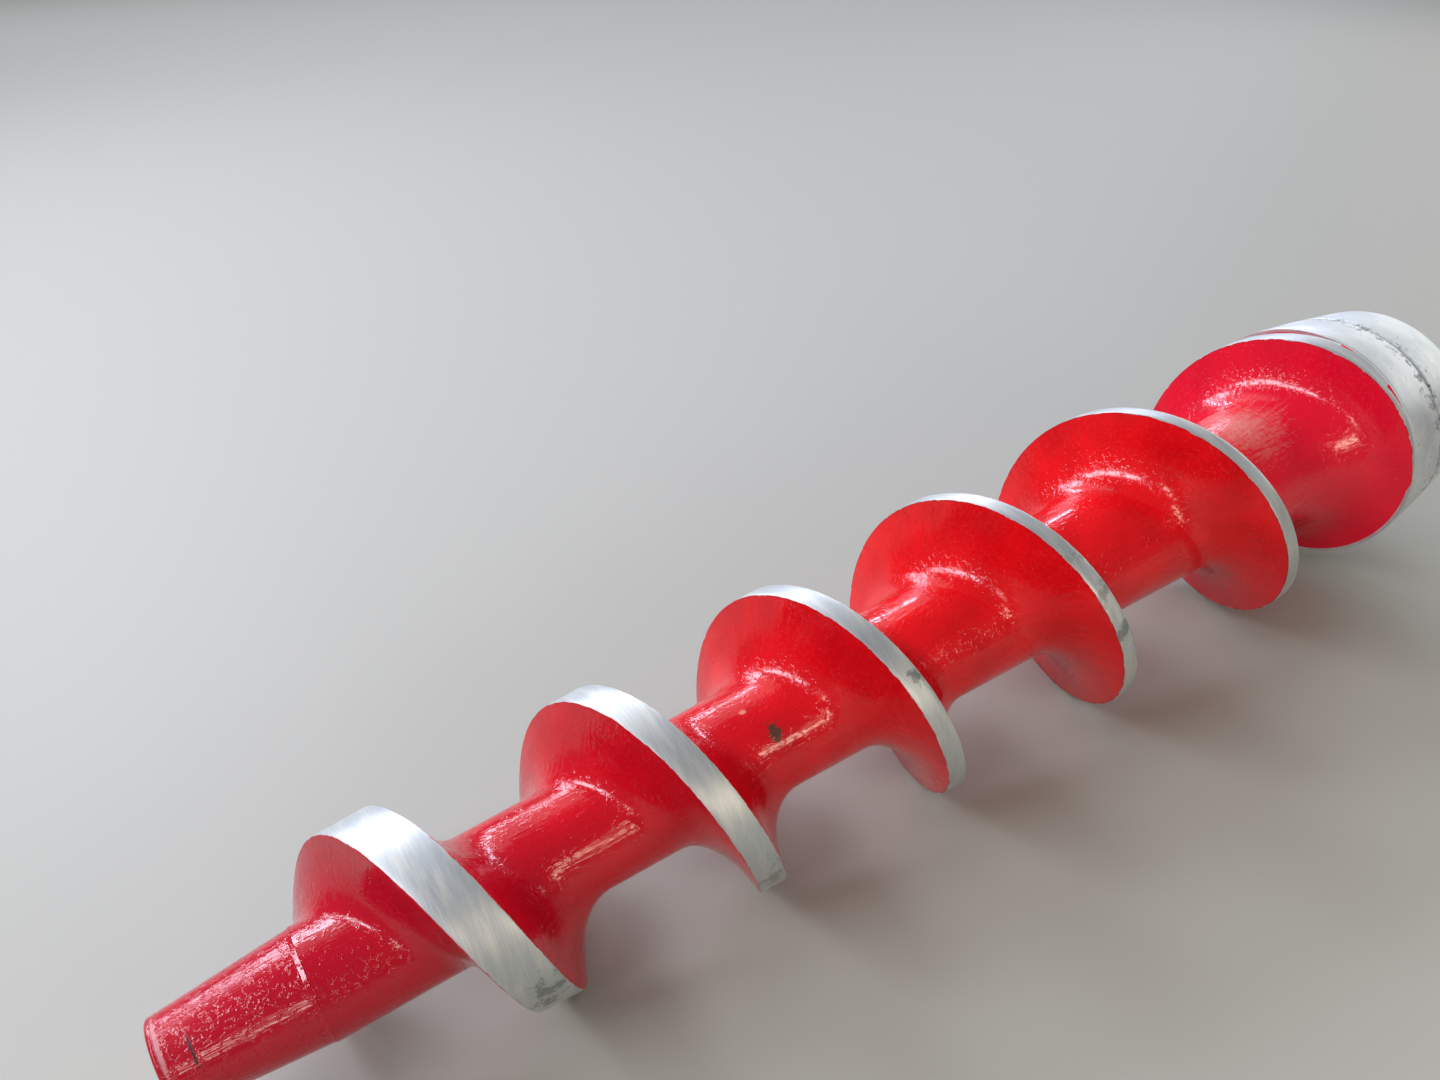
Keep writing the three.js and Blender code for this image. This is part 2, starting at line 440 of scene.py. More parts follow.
@dataclass(frozen=True)
class GroundHardFacing:
    """Weld-laid hard facing, ground on a lathe: grey steel dulled by a film of dust, with paint over its edges."""

    name: str = "ground_hard_facing"
    bright: str = "DEDCD0"
    blue: str = "B4BABA"
    dark: str = "6E7173"
    paint: str = "B50D1B"
    film: float = 0.33
    # Real grinding lines are 0.1 to 0.3 mm apart. They are drawn coarser, so that they show.
    line_width: float = 1.2 * MM
    line_length: float = 45 * MM
    patch_width: float = 18 * MM
    patch_length: float = 110 * MM
    blot_width: float = 26 * MM
    paint_reach: float = 0.9 * MM
    paint_stray: float = 6 * MM
    paint_fade: float = 0.4 * MM
    turned_end: float = 5 * MM
    line_share: float = 0.9
    blue_to: float = 0.40
    bright_from: float = 0.95
    clean_to: float = 0.66
    worn_from: float = 0.83
    worn_share: float = 0.45
    blot_ragged: float = 7.0
    bare_rough: float = 0.36
    patch_rough: float = 0.08
    line_rough: float = 0.14
    paint_rough: float = 0.25
    line_depth: float = 0.04 * MM
    paint_depth: float = 0.1 * MM
    blotches: tuple[Mark, ...] = (
        Mark(0.448, 98.0, 0.180, 0.024, 0.034, "4A4D45", 0.5, 2.5),
        Mark(0.797, 103.0, 0.200, 0.018, 0.026, "5A5F55", 0.4, 2.0),
        Mark(1.100, 48.0, 0.219, 0.014, 0.018, "565A58", 0.75, 1.3),
        Mark(1.448, 34.0, 0.236, 0.014, 0.018, "565A58", 0.4, 1.3),
        Mark(1.470, 54.0, 0.239, 0.016, 0.024, "565A58", 0.5, 1.3),
        Mark(1.488, 73.0, 0.240, 0.018, 0.024, "565A58", 0.6, 1.3),
    )

    def build(self) -> bpy.types.Material:
        """Builds the steel with its grinding lines, patches and uneven paint edge."""
        s = Surface(self.name)
        line = s.value(
            "ShaderNodeTexNoise",
            {**s.wound(self.line_width, self.line_length), "Scale": 1.0, "Detail": 3.0, "Roughness": 0.6},
            noise_dimensions="4D",
        )
        patch = s.value(
            "ShaderNodeTexNoise",
            {**s.wound(self.patch_width, self.patch_length), "Scale": 1.0, "Detail": 4.0},
            noise_dimensions="4D",
        )
        blot = s.value(
            "ShaderNodeTexNoise",
            {"Vector": s.place, "Scale": 1 / self.blot_width, "Detail": 6.0, "Roughness": 0.7},
        )
        edge = Formula(s.tree, add_node(s.tree, "ShaderNodeAttribute", attribute_name="edge").outputs["Fac"])
        sheen = (patch + (line - MIDDLE) * self.line_share).ramp(self.blue_to, self.bright_from)
        grey = s.mix(sheen, linear(self.blue), linear(self.bright))
        worn = s.mix(blot.ramp(self.clean_to, self.worn_from) * self.worn_share, grey, linear(self.dark))
        for mark in self.blotches:
            worn = s.mix(s.near(mark, (blot - MIDDLE) * self.blot_ragged), worn, linear(mark.colour))
        strayed = edge - (blot - MIDDLE) * self.paint_stray
        painted = strayed.ramp(self.paint_reach, self.paint_reach - self.paint_fade)
        paint = painted * s.x.join("LESS_THAN", FORM.hub_front - self.turned_end)
        colour = s.mix(paint, worn, linear(self.paint))
        rough = patch * self.patch_rough + line * self.line_rough + self.bare_rough
        rough = rough.towards(self.paint_rough, paint)
        relief = (line + blot) * self.line_depth + paint * self.paint_depth
        bare = (paint * -1 + 1) * (1 - self.film)
        return s.finish(Base_Color=colour, Metallic=bare, Roughness=rough, Normal=s.bump(relief))


@dataclass(frozen=True)
class TurnedSteel:
    """Forged steel turned on a lathe: pale grey under a dull film, with fine rings and dark scale near the groove."""

    name: str = "turned_steel"
    bright: str = "DEE1DF"
    dull: str = "C6CCCC"
    scale: str = "4E5354"
    film: float = 0.3
    belt_front: float = 2.36
    belt_rear: float = 2.50
    # Real tool rings are 0.3 to 0.5 mm apart. They are drawn coarser, so that they show.
    ring_width: float = 1.8 * MM
    ring_length: float = 900 * MM
    cloud_width: float = 45 * MM
    cloud_length: float = 90 * MM
    flake_width: float = 17 * MM
    belt_share: float = 0.11
    cloud_share: float = 0.25
    clean_to: float = 0.61
    scaled_from: float = 0.72
    scaled_share: float = 0.75
    dull_to: float = 0.40
    bright_from: float = 0.65
    bare_rough: float = 0.35
    cloud_rough: float = 0.12
    ring_rough: float = 0.12
    scale_rough: float = 0.6
    ring_depth: float = 0.04 * MM
    flake_depth: float = 0.05 * MM

    def build(self) -> bpy.types.Material:
        """Builds the steel with its tool rings, cloudy patches and remains of scale."""
        s = Surface(self.name)
        ring = s.value(
            "ShaderNodeTexNoise",
            {**s.wound(self.ring_width, self.ring_length), "Scale": 1.0, "Detail": 2.0},
            noise_dimensions="4D",
        )
        cloud = s.value(
            "ShaderNodeTexNoise",
            {**s.wound(self.cloud_width, self.cloud_length), "Scale": 1.0, "Detail": 5.0, "Roughness": 0.6},
            noise_dimensions="4D",
        )
        flake = s.value(
            "ShaderNodeTexNoise",
            {"Vector": s.place, "Scale": 1 / self.flake_width, "Detail": 7.0, "Roughness": 0.75},
        )
        middle = (self.belt_front + self.belt_rear) / 2
        reach = (self.belt_rear - self.belt_front) / 2
        belt = (((s.x - middle) / reach).join("ABSOLUTE") * -1 + 1).clamped()
        flaked = flake + belt * self.belt_share + (cloud - MIDDLE) * self.cloud_share
        scale = flaked.ramp(self.clean_to, self.scaled_from) * self.scaled_share
        grey = s.mix(cloud.ramp(self.dull_to, self.bright_from), linear(self.dull), linear(self.bright))
        colour = s.mix(scale, grey, linear(self.scale))
        rough = cloud * self.cloud_rough + ring * self.ring_rough + self.bare_rough
        rough = rough.towards(self.scale_rough, scale)
        relief = ring * self.ring_depth - flake * self.flake_depth
        return s.finish(Base_Color=colour, Metallic=1 - self.film, Roughness=rough, Normal=s.bump(relief))


@dataclass(frozen=True)
class SawnSteel:
    """Sawn bar end, left bare: dull grey with straight saw lines and a brown tinge of flash rust."""

    name: str = "sawn_steel"
    bright: str = "9FA3A2"
    rust: str = "6B5546"
    # Real saw lines are about 1 mm apart, and are drawn nearly so.
    line_gap: float = 1.7 * MM
    line_length: float = 70 * MM
    tinge_width: float = 22 * MM
    line_depth: float = 0.1 * MM
    clean_to: float = 0.48
    rusty_from: float = 0.81
    rust_share: float = 0.6
    metal_share: float = 0.9
    bare_rough: float = 0.35
    tinge_rough: float = 0.3

    def build(self) -> bpy.types.Material:
        """Builds the steel with its saw lines and rust tinge."""
        s = Surface(self.name)
        closeness = (1.0, 1 / self.line_length, 1 / self.line_gap)
        stretched = add_node(s.tree, "ShaderNodeMapping", {"Vector": s.place, "Scale": closeness})
        saw = s.value("ShaderNodeTexNoise", {"Vector": stretched.outputs[0], "Scale": 1.0, "Detail": 2.0})
        tinge = s.value("ShaderNodeTexNoise", {"Vector": s.place, "Scale": 1 / self.tinge_width, "Detail": 6.0})
        rusted = tinge.ramp(self.clean_to, self.rusty_from) * self.rust_share
        colour = s.mix(rusted, linear(self.bright), linear(self.rust))
        rough = tinge * self.tinge_rough + self.bare_rough
        relief = s.bump(saw * self.line_depth)
        return s.finish(Base_Color=colour, Metallic=self.metal_share, Roughness=rough, Normal=relief)


@dataclass
class Piece:
    """One finished piece and what it stands for."""

    shape: bpy.types.Object
    slot: Slot
    nodes: tuple[str, ...]

    def place(self) -> None:
        """Lets the piece ride on the screw in the place of its solids."""
        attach(self.shape, "root")
        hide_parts(*self.nodes)
        faces = len(self.shape.data.polygons)
        log.info("%s: %d faces, stands for %s", self.shape.name, faces, ", ".join(self.nodes))


def finished(shape: bpy.types.Object, sharp_degrees: float = 32.0) -> bpy.types.Object:
    """Lays a shape down with the screw and smooths it between its sharp edges.

    Args:
        shape: Object whose mesh is on the screw's own axes.
        sharp_degrees: Least bend between two faces that stays a sharp edge.

    Returns:
        The same object.
    """
    shape.data.transform(LAID)
    shape.data.shade_smooth()
    shape.data.set_sharp_from_angle(angle=math.radians(sharp_degrees))
    return shape


def dress(
    shape: bpy.types.Object,
    coat: bpy.types.Material,
    bare: bpy.types.Material,
    is_bare: Callable[[bpy.types.MeshPolygon], bool],
) -> None:
    """Coats a shape and leaves some of its faces bare.

    Args:
        shape: Object whose mesh is still on the screw's own axes.
        coat: Finish of most faces.
        bare: Finish of the faces that were kept clear of it.
        is_bare: Tells whether a face is one of those.
    """
    shape.data.materials.append(coat)
    shape.data.materials.append(bare)
    for face in shape.data.polygons:
        face.material_index = int(is_bare(face))


def softened(outline: Outline, radius: float, closed: bool = False) -> Outline:
    """Rounds the corners of a turned outline.

    Args:
        outline: Points as (x, radius), in order.
        radius: How far back along each side a corner's bend starts.
        closed: Whether the last point joins the first one.

    Returns:
        The outline with each sharp corner off the axis made a short bend.
    """
    steps = 4
    straight = math.radians(25)
    spare = 2.2
    points = [Vector(point) for point in outline]
    softer: Outline = []
    for i, corner in enumerate(points):
        before, after = points[i - 1], points[(i + 1) % len(points)]
        at_end = not closed and i in (0, len(points) - 1)
        coming, going = corner - before, after - corner
        if at_end or corner.y < radius or coming.angle(going) < straight:
            softer.append(tuple(corner))
            continue
        reach = min(radius, coming.length / spare, going.length / spare)
        start = corner - coming.normalized() * reach
        end = corner + going.normalized() * reach
        for k in range(steps + 1):
            t = k / steps
            softer.append(tuple(start * (1 - t) ** 2 + corner * 2 * t * (1 - t) + end * t**2))
    return softer


@dataclass(frozen=True)
class Lathe:
    """Turns an outline round the screw's axis."""

    segments: int = 192

    def turn(self, name: str, outline: Outline, closed: bool = False) -> bpy.types.Object:
        """Makes one turned piece.

        Args:
            name: Name of the piece.
            outline: Points as (x, radius). An open outline starts and ends on the axis.
            closed: Whether the outline closes on itself, round a hole.

        Returns:
            An object with one closed mesh that faces out.
        """
        shell = bmesh.new()
        rows = []
        for x, radius in outline:
            if radius <= 0:
                rows.append([shell.verts.new((x, 0.0, 0.0))])
                continue
            size = radius * FORM.round_share
            angles = [2 * math.pi * k / self.segments for k in range(self.segments)]
            rows.append([shell.verts.new((x, -size * math.sin(a), size * math.cos(a))) for a in angles])
        pairs = list(zip(rows, rows[1:] + rows[:1])) if closed else list(zip(rows, rows[1:]))
        for low, high in pairs:
            for k in range(self.segments):
                after = (k + 1) % self.segments
                corners = [low[k % len(low)], low[after % len(low)], high[after % len(high)], high[k % len(high)]]
                shell.faces.new(list(dict.fromkeys(corners)))
        bmesh.ops.recalc_face_normals(shell, faces=shell.faces)
        mesh = bpy.data.meshes.new(name)
        shell.to_mesh(mesh)
        shell.free()
        shape = bpy.data.objects.new(name, mesh)
        bpy.context.scene.collection.objects.link(shape)
        return shape


class Layer(Enum):
    """Where a wound section sits: on the core, or on the flight as its rim."""

    BODY = 0.0
    RIM = 1.0


@dataclass
class Winding:
    """A section wound round the core along the flight's helix, by Geometry Nodes."""

    name: str
    layer: Layer
    section: list[tuple[float, float]]
    finish: bpy.types.Material
    rim_thickness: float = 0.002
    stations_per_turn: int = 160
    seat_depth: float = 0.003
    flare_fillet: float = 0.030
    least_fillet: float = 0.1 * MM
    sunk_share: float = 0.2
    foot_level: float = -0.001
    weld: float = 0.02 * MM

    def sizes(self) -> dict[str, float]:
        """Named sizes that the tree takes."""
        return {
            "Nose length": FORM.nose_length,
            "Core front radius": FORM.core_front_radius,
            "Core rear radius": FORM.core_rear_radius,
            "Core swell": FORM.core_swell,
            "Envelope front radius": FORM.envelope_front_radius,
            "Hub radius": FORM.hub_radius,
            "Cone end": FORM.cone_end,
            "Hub front": FORM.hub_front,
            "Flare length": FORM.flare_length,
            "Flare rim": FORM.hub_radius - FORM.hub_rim_width,
            "Flare fillet": self.flare_fillet,
            "Helix middle": FORM.helix_middle,
            "Lead middle": FORM.lead_middle,
            "Lead drift": FORM.lead_drift,
            "Lead growth": FORM.lead_growth,
            "Flight end": FORM.flight_end,
            "Flight end bend": FORM.flight_end_bend,
            "First turn": FORM.first_turn,
            "Last turn": FORM.last_turn,
            "Rim width front": FORM.rim_width_front,
            "Rim width middle": FORM.rim_width_middle,
            "Rim width rear": FORM.rim_width_rear,
            "Rim thickness": self.rim_thickness,
            "Front foot nose": FORM.front_foot_nose,
            "Front foot hub": FORM.front_foot_hub,
            "Front foot growth": FORM.front_foot_growth,
            "Rear foot": FORM.rear_foot,
            "Layer": self.layer.value,
            "Seat depth": self.seat_depth,
            "Round share": FORM.round_share,
            "Stations": round((FORM.last_turn - FORM.first_turn) * self.stations_per_turn) + 1,
            "Section points": len(self.section) + 1,
        }

    def tree(self) -> bpy.types.NodeTree:
        """Builds the tree that winds the section, with each size as a named input."""
        tree = bpy.data.node_groups.new(self.name + " winding", "GeometryNodeTree")
        tree.interface.new_socket("Geometry", in_out="INPUT", socket_type="NodeSocketGeometry")
        tree.interface.new_socket("Geometry", in_out="OUTPUT", socket_type="NodeSocketGeometry")
        for name, value in self.sizes().items():
            kind = "NodeSocketInt" if isinstance(value, int) else "NodeSocketFloat"
            tree.interface.new_socket(name, in_out="INPUT", socket_type=kind)
        given = add_node(tree, "NodeGroupInput")
        size = {name: Formula(tree, given.outputs[name]) for name in self.sizes()}

        grid = add_node(
            tree,
            "GeometryNodeMeshGrid",
            {"Vertices X": size["Stations"], "Vertices Y": size["Section points"]},
        )
        # The halves keep an index that comes out a hair low or high on its own whole number.
        index = Formula(tree, add_node(tree, "GeometryNodeInputIndex").outputs[0])
        row = ((index + 0.5) / size["Section points"]).join("FLOOR")
        column = (index - row * size["Section points"] + 0.5).join("FLOOR")
        column = column * (size["Section points"] - column - 1.5).join("GREATER_THAN", 0.0)
        turns = size["First turn"].towards(size["Last turn"], row / (size["Stations"] - 1))
        drawn = add_node(
            tree,
            "GeometryNodeSampleIndex",
            {
                "Geometry": given.outputs["Geometry"],
                "Value": add_node(tree, "GeometryNodeInputPosition").outputs[0],
                "Index": column,
            },
            data_type="FLOAT_VECTOR",
        )
        parts = add_node(tree, "ShaderNodeSeparateXYZ", {0: drawn.outputs[0]})
        across, height = Formula(tree, parts.outputs[0]), Formula(tree, parts.outputs[1])
        x, radius, edge = self.rule(size, turns, across, height)
        angle = turns * (2 * math.pi)
        place = add_node(
            tree,
            "ShaderNodeCombineXYZ",
            {0: x, 1: radius * angle.join("SINE") * -1, 2: radius * angle.join("COSINE")},
        )
        wrapped = add_node(
            tree, "GeometryNodeSetPosition", {"Geometry": grid.outputs["Mesh"], "Position": place.outputs[0]}
        )
        measured = add_node(
            tree,
            "GeometryNodeStoreNamedAttribute",
            {"Geometry": wrapped.outputs[0], "Name": "edge", "Value": edge},
            data_type="FLOAT",
            domain="POINT",
        )
        closed = add_node(
            tree, "GeometryNodeMergeByDistance", {"Geometry": measured.outputs[0], "Distance": self.weld}
        )
        real = add_node(tree, "GeometryNodeRealizeInstances", {"Geometry": closed.outputs[0]})
        dressed = add_node(
            tree, "GeometryNodeSetMaterial", {"Geometry": real.outputs[0], "Material": self.finish}
        )
        add_node(tree, "NodeGroupOutput", {"Geometry": dressed.outputs[0]})
        return tree

    def rule(
        self, size: Mapping[str, Formula], turns: Formula, across: Formula, height: Formula
    ) -> tuple[Formula, Formula, Formula]:
        """The rule of the flight: where a point of the section goes.

        Args:
            size: The tree's named inputs.
            turns: Turns of the helix, from the middle of the flight.
            across: Place over the section: 0 to 1 is the rim, below 0 its front foot and above 1 its rear foot.
            height: Place up the section, from 0 at the bottom to 1 at the top.

        Returns:
            Place along the axis, distance from the axis, and distance in from the rim's nearer edge.
        """
        hub = size["Hub front"]
        nose = size["Nose length"]
        end = size["Flight end"]
        growth = size["Lead drift"] + turns * size["Lead growth"]
        helix = size["Helix middle"] + turns * (size["Lead middle"] + turns * growth)
        bend = ((helix - end) ** 2 + size["Flight end bend"] ** 2).join("SQRT")
        front = (helix + end - bend) * 0.5

        share = (front - nose) / (end - nose)
        grown = (share * size["Front foot growth"]).join("MINIMUM", 1.0)
        front_foot = size["Front foot nose"].towards(size["Front foot hub"], grown)
        lean_front = (share * 2 - 1) * (share - 1)
        lean_middle = share * (share * -1 + 1) * 4
        lean_rear = share * (share * 2 - 1)
        width = (
            size["Rim width front"] * lean_front
            + size["Rim width middle"] * lean_middle
            + size["Rim width rear"] * lean_rear
        )
        x = (
            front
            + across.join("MINIMUM", 0.0) * front_foot
            + across.clamped() * width
            + (across - 1).join("MAXIMUM", 0.0) * size["Rear foot"]
        )

        along = x.ramp(nose, end)
        core = size["Core front radius"].towards(size["Core rear radius"], along ** size["Core swell"])
        cone = (x - nose) / (size["Cone end"] - nose)
        envelope = size["Envelope front radius"].towards(size["Hub radius"], cone).join("MINIMUM", size["Hub radius"])
        underside = envelope - size["Rim thickness"]
        low = core.towards(underside, size["Layer"])
        high = underside.towards(envelope, size["Layer"])
        radius = low + height * (high - low)

        flare_start = hub - size["Flare length"]
        up_flare = x.ramp(flare_start, hub)
        sunk = (flare_start - x).join("MAXIMUM", 0.0) + size["Seat depth"] * self.sunk_share
        lift = (up_flare**2 * -1 + 1).join("SQRT") * -1 + 1
        flare = core.towards(size["Flare rim"], lift) - sunk
        fillet = size["Flare fillet"] * up_flare + self.least_fillet
        blended = radius.join("SMOOTH_MAX", flare, fillet)
        on_top = height.join("GREATER_THAN", self.foot_level)
        radius = radius.towards(blended, on_top * (size["Layer"] * -1 + 1))
        edge = across.join("MINIMUM", across * -1 + 1) * width
        return x, radius * size["Round share"], edge

    def wind(self) -> bpy.types.Object:
        """Winds the section, closes its ends and cuts it square at the nose and the hub.

        Returns:
            An object with one closed mesh that faces out.
        """
        outline = bpy.data.meshes.new(self.name + "_section")
        outline.from_pydata([(across, height, 0.0) for across, height in self.section], [], [])
        shape = bpy.data.objects.new(self.name, outline)
        bpy.context.scene.collection.objects.link(shape)
        tree = self.tree()
        modifier = shape.modifiers.new("winding", "NODES")
        modifier.node_group = tree
        values = self.sizes()
        for socket in tree.interface.items_tree:
            if socket.in_out == "INPUT" and socket.name in values:
                modifier[socket.identifier] = values[socket.name]
        evaluated = shape.evaluated_get(bpy.context.evaluated_depsgraph_get())
        mesh = bpy.data.meshes.new_from_object(evaluated)
        shape.modifiers.clear()
        shape.data = mesh
        self.square_ends(mesh)
        return shape

    @staticmethod
    def square_ends(mesh: bpy.types.Mesh) -> None:
        """Closes the two ends of a winding, then cuts off what passes the nose shoulder or the hub's front.

        Args:
            mesh: The wound mesh, which is changed in place.
        """
        shell = bmesh.new()
        shell.from_mesh(mesh)
        bmesh.ops.holes_fill(shell, edges=[edge for edge in shell.edges if edge.is_boundary], sides=0)
        planes = ((FORM.nose_length + FORM.gap, -1.0), (FORM.hub_front - FORM.gap, 1.0))
        for x, outwards in planes:
            bmesh.ops.bisect_plane(
                shell,
                geom=[*shell.verts, *shell.edges, *shell.faces],
                plane_co=(x, 0.0, 0.0),
                plane_no=(outwards, 0.0, 0.0),
                clear_outer=True,
            )
            bmesh.ops.holes_fill(shell, edges=[edge for edge in shell.edges if edge.is_boundary], sides=0)
        bmesh.ops.triangulate(shell, faces=[face for face in shell.faces if len(face.verts) > 4])
        bmesh.ops.recalc_face_normals(shell, faces=shell.faces)
        shell.to_mesh(mesh)
        shell.free()


@dataclass
class Nose:
    """The stub in front of the flight: a rough painted cone, its bare end and the seam at its shoulder."""

    lathe: Lathe
    edge: float = 0.0012
    bare_to: float = 0.0004
    seam_step: float = 0.0003
    scratch: Mark = Mark(0.044, 40.0, 0.067, 0.0022, 0.034, "2E1214")
    scrape: Mark = Mark(0.010, 20.0, 0.064, 0.004, 0.060, "D9A0A0", 0.5)

    def build(self) -> list[Piece]:
        """Turns and dresses the nose's three pieces."""
        shoulder = FORM.nose_length - FORM.nose_seam_width
        cap = [
            (0.0, 0.0),
            (0.0, FORM.nose_tip_radius - FORM.nose_cap_chamfer),
            (FORM.nose_cap_chamfer, FORM.nose_tip_radius),
            (FORM.nose_cap_thickness, FORM.nose_tip_radius),
            (FORM.nose_cap_thickness, 0.0),
        ]
        stub = [
            (FORM.nose_cap_thickness, 0.0),
            (FORM.nose_cap_thickness, FORM.nose_tip_radius),
            (shoulder, FORM.nose_shoulder_radius),
            (shoulder, 0.0),
        ]
        seam = [
            (shoulder, 0.0),
            (shoulder, FORM.nose_shoulder_radius),
            (FORM.nose_length, FORM.core_front_radius - self.seam_step),
            (FORM.nose_length, 0.0),
        ]
        enamel = BrushedEnamel(
            name="thick_brushed_enamel",
            nib_height=3.1 * MM,
            stroke_depth=0.7 * MM,
            marks=(self.scratch, self.scrape),
        ).build()
        steel = SawnSteel().build()
        rows = (
            ("nose_end_cap", softened(cap, self.edge), Slot.NOSE_END),
            ("nose_stub", stub, Slot.NOSE),
            ("nose_seam_ring", seam, Slot.NOSE),
        )
        made = []
        for name, outline, slot in rows:
            shape = self.lathe.turn(name + "_turned", outline)
            dress(shape, enamel, steel, lambda face: face.center.x < self.bare_to)
            made.append(Piece(finished(shape), slot, (name,)))
        return made


@dataclass
class Casting:
    """The red casting: the core, the flight wound round it with its wide fillets, and the flare up to the hub."""

    lathe: Lathe
    steel: bpy.types.Material
    painted_to: float = 0.0065
    fillet_steps: int = 16
    core_steps: int = 80
    flare_steps: int = 24
    lean_steps: int = 4
    toe: float = 0.12
    toe_depth: float = 0.03
    marks: tuple[Mark, ...] = (
        Mark(0.904, 43.0, 0.096, 0.014, 0.019, "4A2A1E"),
        Mark(0.876, 11.0, 0.095, 0.007, 0.005, "E0907C", 0.8),
        Mark(2.085, 2.0, 0.132, 0.110, 0.090, "D8A596", 0.7, 0.8),
        Mark(2.285, 85.0, 0.225, 0.020, 0.009, "D9A890", 0.8),
    )

    def section(self) -> list[tuple[float, float]]:
        """Draws the flight's section once round, in shares of its foot, its rim and its height."""
        side = [(-1 - self.toe, -self.toe_depth), (-1 - self.toe / 2, -self.toe_depth * 0.4)]
        reach = (1 - FORM.flank_lean) / math.sin(FORM.flank_angle)
        rise = FORM.fillet_height / (1 - math.cos(FORM.flank_angle))
        for i in range(self.fillet_steps + 1):
            angle = FORM.flank_angle * i / self.fillet_steps
            side.append((-1 + reach * math.sin(angle), rise * (1 - math.cos(angle))))
        for i in range(1, self.lean_steps + 1):
            share = i / self.lean_steps
            side.append((-FORM.flank_lean * (1 - share), FORM.fillet_height + (1 - FORM.fillet_height) * share))
        rear = [(1 - across, height) for across, height in reversed(side)]
        return side + [(0.5, 1.0)] + rear

    def build(self) -> list[Piece]:
        """Makes and dresses the core, the flight and the flare."""
        enamel = BrushedEnamel(marks=self.marks).build()
        start = FORM.nose_length + FORM.gap
        flare_start = FORM.hub_front - FORM.flare_length
        core: Outline = [(start, 0.0)]
        for i in range(self.core_steps + 1):
            x = start + (flare_start - start) * i / self.core_steps
            core.append((x, FORM.core_at(x)))
        top = FORM.hub_radius - FORM.hub_rim_width
        for i in range(1, self.flare_steps + 1):
            angle = math.pi / 2 * i / self.flare_steps
            x = flare_start + FORM.flare_length * math.sin(angle)
            core.append((x, top + (FORM.core_at(x) - top) * math.cos(angle)))
        core += [
            (FORM.hub_front, FORM.hub_radius),
            (FORM.hub_front + FORM.hub_rim_width, FORM.hub_radius),
            (FORM.hub_front + FORM.hub_rim_width, 0.0),
        ]
        shaft = self.lathe.turn("core_turned", core)
        machined = FORM.hub_radius * FORM.round_share - self.painted_to
        dress(shaft, enamel, self.steel, lambda face: face.center.yz.length > machined)

        flight = Winding("flight_wound", Layer.BODY, self.section(), enamel).wind()
        turns = tuple(f"flight_turn_{i + 1}" for i in range(FORM.turns))
        return [
            Piece(finished(shaft), Slot.CORE, ("root_shaft", "hub_flare")),
            Piece(finished(flight), Slot.FLIGHT, turns),
        ]


@dataclass
class Rim:
    """The bare band along the top of the flight."""

    corner: tuple[tuple[float, float], ...] = ((0.0, 0.4), (0.012, 0.8), (0.035, 1.0))

    def build(self) -> list[Piece]:
        """Winds and dresses the band."""
        front = [(0.0, 0.0), *self.corner]
        rear = [(1 - across, height) for across, height in reversed(front)]
        top = [(share, 1.0) for share in (0.25, 0.5, 0.75)]
        section = front + top + rear
        band = Winding("rim_wound", Layer.RIM, section, GroundHardFacing().build()).wind()
        strips = tuple(f"rim_strip_{i + 1}" for i in range(FORM.turns))
        return [Piece(finished(band), Slot.RIM, strips)]


@dataclass
class Hub:
    """The turned hub: its drum, the groove behind it and the collar round the drive socket."""

    lathe: Lathe
    steel: bpy.types.Material
    edge: float = 0.003

    def build(self) -> list[Piece]:
        """Turns and dresses the hub's three pieces."""
        front = FORM.hub_front + FORM.hub_rim_width
        rear = FORM.neck_front - FORM.gap
        drum = [
            (front, 0.0),
            (front, FORM.hub_radius),
            (rear, FORM.neck_radius),
            (rear, FORM.socket_radius),
            (FORM.socket_end, FORM.socket_radius),
            (FORM.socket_end, 0.0),
        ]
        neck_rear = FORM.neck_front + FORM.neck_width
        neck_top = FORM.neck_radius - FORM.neck_depth
        neck = [
            (FORM.neck_front, neck_top),
            (neck_rear, neck_top),
            (neck_rear, FORM.socket_radius),
            (FORM.neck_front, FORM.socket_radius),
        ]
        collar_front = neck_rear + FORM.gap
        collar = [
            (collar_front, FORM.collar_radius),
            (FORM.hub_rear - FORM.hub_rear_chamfer, FORM.hub_rear_radius),
            (FORM.hub_rear, FORM.hub_rear_radius - FORM.hub_rear_chamfer),
            (FORM.hub_rear, FORM.socket_radius + FORM.socket_chamfer),
            (FORM.hub_rear - FORM.socket_chamfer, FORM.socket_radius),
            (collar_front, FORM.socket_radius),
        ]
        shapes = (
            ("hub_drum", self.lathe.turn("hub_drum_turned", softened(drum, self.edge))),
            ("hub_neck", self.lathe.turn("hub_neck_turned", neck, closed=True)),
            ("hub_collar", self.lathe.turn("hub_collar_turned", softened(collar, self.edge, True), closed=True)),
        )
        made = []
        for node, shape in shapes:
            shape.data.materials.append(self.steel)
            made.append(Piece(finished(shape), Slot.STEEL, (node,)))
        return made


@dataclass(frozen=True)
class Lamp:
    """A soft rectangular lamp, in metres and watts, with the tint of its light."""

    name: str
    place: tuple[float, float, float]
    size: tuple[float, float]
    power: float
    tint: str = "FFFFFF"


